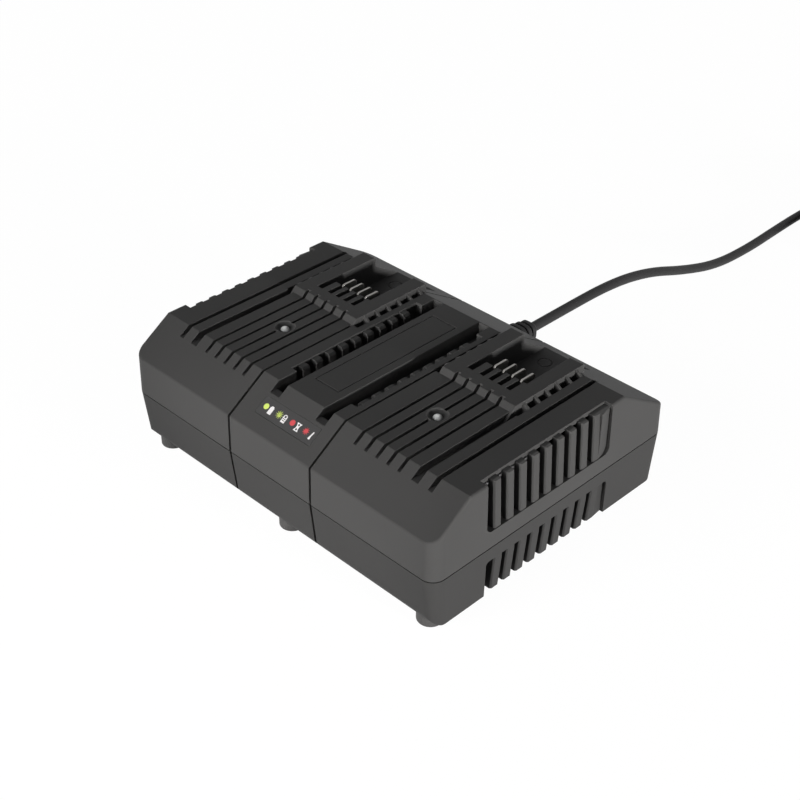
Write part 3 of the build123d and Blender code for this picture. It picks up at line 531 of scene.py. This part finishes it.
grip_full = (grip_bar_width, grip_bar_height)
grip_rings = []
for share, (wide, high) in ((-1, grip_end), (-0.8, grip_full), (0.8, grip_full), (1, grip_end)):
    outline = rounded_frame(wide, high, grip_bar_round, 3)
    grip_rings.append([(share * grip_bar_length / 2, y, z) for y, z in outline])
grip_mesh = skinned("grip_bar", grip_rings)
for side, name in ((1, "plug_top_grips"), (-1, "plug_under_grips")):
    grip_z = plug_middle.z + side * waist_half_height
    bars = repeated(
        name, grip_mesh.copy(), grip_count, plug_material,
        start=(plug_middle.x, plug_low.y + grip_from_front, grip_z), step=(0, grip_pitch, 0),
    )
    shown(name, bars)


# ---- strain relief ----
# A soft sleeve moulded round the lead where it leaves the back wall. A square neck with round
# corners sits in the wall, and stepped ridges taper towards the lead so that it bends gently.

relief_material = moulded(
    "relief_rubber", (0.019, 0.019, 0.020), (0.031, 0.031, 0.032),
    rough=0.52, grain_size=0.0008, grain_depth=0.00002, drift_size=0.02, specular=0.12,
)
wall_face_y = 0.088
ridge_count = 5
ridge_root = 0.0182
ridge_tip = 0.0118
ridge_pitch = 0.0046
first_ridge = 0.0004
ridge_wide = 0.0029
ridge_edge = 0.0004
relief_height_share = 0.96
relief_corner_share = 0.36


def across_lead(y, size):
    """A square with round corners round the lead's line, at one Y."""
    outline = rounded_frame(size, size * relief_height_share, size * relief_corner_share)
    return [(x, y, lead_height + z) for x, z in outline]


# each step's distance from the wall's face, and the core's size there
core_steps = [
    (-0.0052, 0.0180), (-0.0030, 0.0180), (-0.0029, 0.0076), (0.0002, 0.0076),
    (0.0004, 0.0112), (0.0220, 0.0084), (0.0236, 0.0078), (0.0240, 0.0070),
]
core_rings = [across_lead(wall_face_y + distance, size) for distance, size in core_steps]
core_mesh = skinned("relief_core", core_rings)
relief_core = shown("relief_core", core_mesh, relief_material)
ridge_side = 1 - 2 * ridge_edge / ridge_root
ridge_steps = [(0, ridge_side), (ridge_edge, 1), (ridge_wide - ridge_edge, 1), (ridge_wide, ridge_side)]
ridge_outline = rounded_frame(1, relief_height_share, relief_corner_share)
ridge_rings = []
for y, share in ridge_steps:
    ridge_rings.append([(x * share, y, z * share) for x, z in ridge_outline])
ridges = repeated(
    "relief_ridges", skinned("ridge", ridge_rings, shade_smooth=False), ridge_count, relief_material,
    start=(0, wall_face_y + first_ridge, lead_height), step=(0, ridge_pitch, 0),
    sizes=((ridge_root, 1, ridge_root), (ridge_tip, 1, ridge_tip)),
)
relief_ridges = shown("relief_ridges", ridges)
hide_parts("strain_relief")


# ---- the lead as a whole ----
# The lead is one length of flex from the relief to the plug: the plug with its blades is moulded on at
# the far end, and the relief where the lead goes through the back wall. Here they stay separate pieces.


# ---- housing ----
# Both halves are injection moulded in black plastic with a fine spark-eroded grain. The base has the
# coarser grain of the two, and its darker colour is painted shade: the lower half is made to look less
# lit.

# the edges of both halves carry a stronger painted highlight than the default
housing_plastic = moulded(
    "housing_plastic", (0.053, 0.053, 0.053), (0.063, 0.063, 0.063),
    rough=0.56, grain_size=0.0006, grain_depth=0.000045, drift_size=0.06, specular=0.06,
    edge_radius=0.0005, painted_edge_highlight=1.4,
)
# painted shade: the base is a darker copy of the housing plastic
shaded_base_plastic = moulded(
    "shaded_base_plastic", (0.040, 0.040, 0.040), (0.048, 0.048, 0.048),
    rough=0.60, grain_size=0.0008, grain_depth=0.00006, drift_size=0.06, specular=0.06,
    edge_radius=0.0005, painted_edge_highlight=1.4,
)
dress("upper_housing", housing_plastic)
dress("lower_housing", shaded_base_plastic)


# ---- feet ----
# Six round feet of soft black rubber, three along the front and three along the back. Each is
# pressed into a shallow socket in the base.

foot_rubber = moulded(
    "foot_rubber", (0.031, 0.031, 0.031), (0.052, 0.051, 0.051),
    rough=0.72, grain_size=0.0007, grain_depth=0.00005, drift_size=0.02,
)
for row in ("front", "back"):
    for place in ("left", "centre", "right"):
        dress(f"{row}_{place}_foot", foot_rubber)


# ---- legend label ----
# A thin film glued into a shallow recess on the front slope. Its small pictograms are printed
# in green, white and red inks, with dark details over the white ones.

label_film = moulded(
    "label_film", (0.053, 0.053, 0.054), (0.062, 0.062, 0.063),
    rough=0.52, grain_size=0.0004, grain_depth=0.000008, drift_size=0.02, specular=0.08,
)
dress("legend_label", label_film)

label_middle = Vector((0, -0.0755, 0.06665))
label_up = Vector((0, 0.8315, 0.5555))
label_out = Vector((0, -0.5555, 0.8315))
film_face = 0.00005
ink_depth = 0.00004


def ink(name, colour):
    """A printing ink with a slightly uneven lay."""
    pale = tuple(min(c * 1.06, 1) for c in colour)
    return moulded(
        name, colour, pale,
        rough=0.45, grain_size=0.0002, grain_depth=0.000004, drift_size=0.003, specular=0.3,
    )


def printed(name, outlines, material, lift=0.0):
    """Flat shapes of ink on the label, given as (along, up) outlines in metres."""
    form = bmesh.new()
    under = film_face + lift - ink_depth / 2
    for outline in outlines:
        low = [label_middle + Vector((u, 0, 0)) + label_up * v + label_out * under for u, v in outline]
        high = [spot + label_out * ink_depth for spot in low]
        add_skin(form, [low, high])
    shown(name, as_mesh(name, form), material)


def at(x, y, outline):
    """An outline in millimetres moved to its place on the label, in metres."""
    return [((x + u) / 1000, (y + v) / 1000) for u, v in outline]


def disc(radius, count=28):
    """A round spot."""
    turns = [2 * math.pi * k / count for k in range(count)]
    return [(radius * math.cos(t), radius * math.sin(t)) for t in turns]


def ray(turn, inner, outer, wide):
    """One tapered ray of a blinking light."""
    outward = Vector((math.cos(turn), math.sin(turn)))
    across = Vector((-outward.y, outward.x)) * wide / 2
    tip = across * 0.3
    near, far = outward * inner, outward * outer
    return [tuple(spot) for spot in (near - across, far - tip, far + tip, near + across)]


def rays(inner, outer):
    """The ring of rays round a blinking light."""
    count = 10
    return [ray(2 * math.pi * k / count, inner, outer, 0.55) for k in range(count)]


# the signs' outlines, and the places of lights and signs along the label, in millimetres
cell = [
    (-1.3, -2.3), (1.3, -2.3), (1.3, 1.7), (0.8, 1.7),
    (0.8, 2.3), (-0.8, 2.3), (-0.8, 1.7), (-1.3, 1.7),
]
cell_stripe = [(-0.95, -0.19), (0.95, -0.19), (0.95, 0.19), (-0.95, 0.19)]
waisted = [
    (-1.7, -2.3), (1.7, -2.3), (0.95, -0.8), (0.95, 0.8),
    (1.7, 2.3), (-1.7, 2.3), (-0.95, 0.8), (-0.95, -0.8),
]
bulb = [(-0.75, -2.0), (0, -2.3), (0.75, -2.0), (0.55, -0.6), (0.95, 2.2), (0.25, 2.3), (-0.45, -0.6)]
sign_row = -0.5
light_row = sign_row + 0.6
filling_light_row = sign_row + 0.5
full_light, full_cell = -16.5, -12.6
filling_light, filling_cell = -6.5, -2.4
waiting_light, waiting_sign = 3.3, 7.5
fault_light, fault_bulb = 13.2, 17.2
green_outlines = [
    at(full_light, light_row, disc(1.65)),
    at(filling_light, filling_light_row, disc(0.75)),
]
green_outlines += [at(filling_light, filling_light_row, outline) for outline in rays(0.4, 2.3)]
white_outlines = [
    at(full_cell, sign_row, cell),
    at(filling_cell, sign_row, cell),
    at(waiting_sign, sign_row, waisted),
    at(fault_bulb, sign_row, bulb),
]
red_outlines = [at(waiting_light, light_row, disc(1.65)), at(fault_light, light_row, disc(1.25))]
red_outlines += [at(fault_light, light_row, outline) for outline in rays(1.1, 2.1)]
dark_outlines = [at(filling_cell, sign_row + up, cell_stripe) for up in (-1.1, -0.15)]
dark_outlines.append(at(filling_cell, sign_row + 1.15, disc(0.66, 16)))
dark_outlines += [at(waiting_sign, sign_row + up, disc(0.56, 16)) for up in (-1.3, 1.3)]
printed("green_print", green_outlines, ink("green_ink", (0.64, 0.78, 0.17)))
printed("white_print", white_outlines, ink("white_ink", (0.82, 0.81, 0.82)))
printed("red_print", red_outlines, ink("red_ink", (0.58, 0.075, 0.085)))
printed("dark_print", dark_outlines, ink("dark_ink", (0.03, 0.03, 0.03)), lift=ink_depth * 0.6)


# ---- state domes ----
# Milky clear domes, one in the middle of each dock. Each is the top of a moulded light pipe
# that brings up the glow of the lamp on the small board below it.

lens_plastic = moulded(
    "lens_plastic", (0.66, 0.68, 0.68), (0.76, 0.78, 0.78),
    rough=0.25, grain_size=0.0008, grain_depth=0.00001, drift_size=0.01,
)
for side in ("left", "right"):
    dress(f"{side}_indicator_lens", lens_plastic)
dress("indicator_leds", lens_plastic)


# ---- contacts ----
# Upright blades of plated metal, four in each dock. They are held in a block of glass-filled
# plastic under the dock's well.

# painted highlight: a strong lift of colour along the thin edge mask gives the blades bright top edges
contact_plating = moulded(
    "contact_plating", (0.17, 0.165, 0.157), (0.26, 0.254, 0.242),
    rough=0.36, grain_size=0.0005, grain_depth=0.000006, drift_size=0.008, rough_spread=0.08,
    metallic=1.0, edge_radius=0.00012, painted_edge_highlight=2.6,
)
block_plastic = moulded(
    "block_plastic", (0.028, 0.028, 0.028), (0.043, 0.043, 0.043),
    rough=0.5, grain_size=0.0005, grain_depth=0.00003, drift_size=0.02,
)
for side in ("left", "right"):
    dress(f"{side}_terminal_block", block_plastic)
    for k in range(4):
        dress(f"{side}_contact_{k + 1}", contact_plating)


# ---- housing screws ----
# Seven pan-head steel screws with a cross recess, driven upwards from wells in the base into
# the upper half's posts.

def turned(name, profile, count=28):
    """A form turned about Z from (radius, height) points, with its two ends closed."""
    rings = []
    for radius, z in profile:
        turns = [2 * math.pi * k / count for k in range(count)]
        rings.append([(radius * math.cos(t), radius * math.sin(t), z) for t in turns])
    return skinned(name, rings)


def cut_out(mesh, tool_meshes):
    """A mesh with other meshes cut out of it."""
    body = bpy.data.objects.new("cut_body", mesh)
    bpy.context.scene.collection.objects.link(body)
    tools = []
    for tool_mesh in tool_meshes:
        tool = bpy.data.objects.new("cut_tool", tool_mesh)
        bpy.context.scene.collection.objects.link(tool)
        cut = body.modifiers.new("cut", "BOOLEAN")
        cut.operation = "DIFFERENCE"
        cut.solver = "EXACT"
        cut.object = tool
        tools.append(tool)
    graph = bpy.context.evaluated_depsgraph_get()
    result = bpy.data.meshes.new_from_object(body.evaluated_get(graph))
    for part in (*tools, body):
        bpy.data.objects.remove(part)
    return result


def recess_wing(half_x, half_y, low, high):
    """One bar of a cross recess: full size at its upper end and narrower at its lower one."""
    rings = []
    for level, share in ((low, 0.45), (high, 1.0)):
        x, y = half_x * share, half_y * share
        rings.append([(u, v, level) for u, v in ((x, y), (-x, y), (-x, -y), (x, -y))])
    return skinned("recess_wing", rings, shade_smooth=False)


def pan_screw(name, head_radius, head_height, shank_radius, shank_length):
    """A pan-head screw about Z: its head stands on Z 0 and its shank goes down from there."""
    tip_z = -shank_length
    point_length = 0.0014
    plain_length = 0.003
    thread_root = shank_radius * 0.72
    thread_pitch = shank_radius * 0.8
    profile = [(0.0002, tip_z), (shank_radius * 0.55, tip_z + 0.0012)]
    for k in range(int((shank_length - plain_length) / thread_pitch)):
        low = tip_z + point_length + k * thread_pitch
        profile += [(thread_root, low), (shank_radius, low + thread_pitch * 0.5)]
    profile += [(thread_root, -0.0008), (shank_radius * 0.8, 0)]
    head_shares = ((0.97, 0), (1, 0.12), (1, 0.45), (0.9, 0.82), (0.6, 0.96))
    profile += [(head_radius * across, head_height * up) for across, up in head_shares]
    profile.append((0.0001, head_height))
    wing_long, wing_thick = head_radius * 0.56, head_radius * 0.15
    recess_floor, recess_top = head_height * 0.25, head_height + 0.0004
    wings = [
        recess_wing(wing_long, wing_thick, recess_floor, recess_top),
        recess_wing(wing_thick, wing_long, recess_floor, recess_top),
    ]
    return cut_out(turned(name, profile), wings)


zinc = moulded(
    "zinc_screw", (0.42, 0.42, 0.43), (0.55, 0.55, 0.55),
    rough=0.36, grain_size=0.0005, grain_depth=0.000006, drift_size=0.01, rough_spread=0.06,
    metallic=1.0, edge_radius=0.00015,
)
housing_low, housing_high = (Vector(corner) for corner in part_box("housing_screws"))
head_radius = 0.003
head_height = 0.0022
shank_radius = 0.0015
seat_z = housing_low.z + head_height
shank_length = housing_high.z - seat_z
screw_mesh = pan_screw("housing_screw", head_radius, head_height, shank_radius, shank_length)
screw_mesh.transform(Matrix.Rotation(math.pi, 4, "X"))
screw_x = housing_high.x - head_radius
front_y = housing_low.y + head_radius
back_y = housing_high.y - head_radius
clamp_x = 0.024
front_screws = repeated(
    "front_screws", screw_mesh.copy(), 3, zinc,
    start=(-screw_x, front_y, seat_z), step=(screw_x, 0, 0),
)
back_screws = repeated(
    "back_screws", screw_mesh.copy(), 2, zinc,
    start=(-screw_x, back_y, seat_z), step=(2 * screw_x, 0, 0),
)
clamp_screws = repeated(
    "clamp_screws", screw_mesh.copy(), 2, zinc,
    start=(-clamp_x, back_y, seat_z), step=(2 * clamp_x, 0, 0),
)
front_row = shown("front_screws", front_screws)
shown("back_screws", back_screws)
shown("clamp_screws", clamp_screws)
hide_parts("housing_screws")


# ---- board screws ----
# Four short screws of the same kind and steel, with thinner shanks. They hold the circuit board
# down on the base's four posts.

board_low, board_high = (Vector(corner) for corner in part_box("board_screws"))
board_seat = board_high.z - head_height
short_shank_radius = 0.0012
short_shank_length = board_seat - board_low.z
short_screw = pan_screw("board_screw", head_radius, head_height, short_shank_radius, short_shank_length)
board_screw_x = board_high.x - head_radius
board_rows = {
    "board_front_screws": board_low.y + head_radius,
    "board_back_screws": board_high.y - head_radius,
}
for name, y in board_rows.items():
    pair = repeated(
        name, short_screw.copy(), 2, zinc,
        start=(-board_screw_x, y, board_seat), step=(2 * board_screw_x, 0, 0),
    )
    row = shown(name, pair)
    if name == "board_front_screws":
        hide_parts("board_screws")


# ---- input choke ----
# A ferrite ring that lies on the board, wound with one layer of enamelled copper wire. It
# keeps the charger's own switching noise off the mains.

choke_low, choke_high = (Vector(corner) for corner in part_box("input_choke"))
choke_middle = (choke_low + choke_high) / 2
ring_outer = (choke_high.x - choke_low.x) / 2
ring_inner = 0.005
ring_high = choke_high.z - choke_low.z
middle_radius = (ring_outer + ring_inner) / 2
wire = 0.0011
turn_count = 22
ring_sections = 48
wire_sides = 8
copper = moulded(
    "copper_wire", (0.42, 0.16, 0.05), (0.55, 0.24, 0.08),
    rough=0.3, grain_size=0.001, grain_depth=0.00001, drift_size=0.01, rough_spread=0.06,
    metallic=1.0,
)
ferrite = moulded(
    "ferrite", (0.030, 0.030, 0.032), (0.05, 0.05, 0.052),
    rough=0.7, grain_size=0.0006, grain_depth=0.00004,
)
ferrite_profile = []
for x, z in rounded_frame(ring_outer - ring_inner - 2 * wire, ring_high - 2 * wire, 0.001, 3):
    ferrite_profile.append((middle_radius + x, z))
sections = []
for k in range(ring_sections):
    turn = 2 * math.pi * k / ring_sections
    sections.append([(r * math.cos(turn), r * math.sin(turn), z) for r, z in ferrite_profile])
ring_mesh = skinned("choke_ring", sections, closed_ring=True)
ring_mesh.transform(Matrix.Translation(choke_middle))
shown("choke_ring", ring_mesh, ferrite)
turn_path = rounded_frame(ring_outer - ring_inner - wire, ring_high - wire, 0.0015, 3)
wire_sections = []
for k, (x, z) in enumerate(turn_path):
    before, after = Vector(turn_path[k - 1]), Vector(turn_path[(k + 1) % len(turn_path)])
    along = (after - before).normalized()
    outward = Vector((along.y, -along.x))
    section = []
    for n in range(wire_sides):
        angle = 2 * math.pi * n / wire_sides
        spot = Vector((x, z)) + outward * wire / 2 * math.cos(angle)
        section.append((middle_radius + spot.x, wire / 2 * math.sin(angle), spot.y))
    wire_sections.append(section)
turn_mesh = skinned("choke_turn", wire_sections, closed_ring=True)
winding = repeated(
    "choke_winding", turn_mesh, turn_count, copper,
    start=tuple(choke_middle), turn=(0, 0, 2 * math.pi / turn_count),
)
choke_winding = shown("choke_winding", winding)
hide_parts("input_choke")


# ---- inside ----
# The charging circuit: one laminate board with its transformer, capacitors, heat sinks, fuse
# and wires. All of it is out of sight once the two halves are screwed together.

board_laminate = moulded(
    "board_laminate", (0.006, 0.024, 0.012), (0.010, 0.036, 0.018),
    rough=0.42, grain_size=0.004, grain_depth=0.00001, drift_size=0.02, specular=0.3,
)
tape = moulded(
    "winding_tape", (0.55, 0.42, 0.08), (0.62, 0.48, 0.11),
    rough=0.4, grain_size=0.003, grain_depth=0.00002,
)
sleeve_film = moulded(
    "capacitor_sleeve", (0.012, 0.018, 0.05), (0.018, 0.026, 0.07),
    rough=0.3, grain_size=0.001, grain_depth=0.00001,
)
sink_metal = moulded(
    "sink_metal", (0.34, 0.34, 0.35), (0.42, 0.42, 0.43),
    rough=0.46, grain_size=0.0008, grain_depth=0.00001, drift_size=0.02, rough_spread=0.08,
    metallic=1.0,
)
wire_sleeve = moulded(
    "wire_sleeve", (0.35, 0.02, 0.015), (0.45, 0.03, 0.02),
    rough=0.45, grain_size=0.001, grain_depth=0.00001,
)
fuse_glass = moulded(
    "fuse_glass", (0.60, 0.62, 0.62), (0.70, 0.72, 0.72),
    rough=0.15, grain_size=0.002, grain_depth=0.00001,
)
finishes = {
    "main_circuit_board": board_laminate,
    "left_indicator_board": board_laminate,
    "right_indicator_board": board_laminate,
    "transformer_core": ferrite,
    "transformer_winding": tape,
    "bulk_capacitor": sleeve_film,
    "output_capacitors": sleeve_film,
    "left_heat_sink": sink_metal,
    "right_heat_sink": sink_metal,
    "power_transistors": block_plastic,
    "input_fuse": fuse_glass,
    "indicator_wires": wire_sleeve,
    "contact_wires": wire_sleeve,
    "mains_wires": wire_sleeve,
}
for name, material in finishes.items():
    dress(name, material)
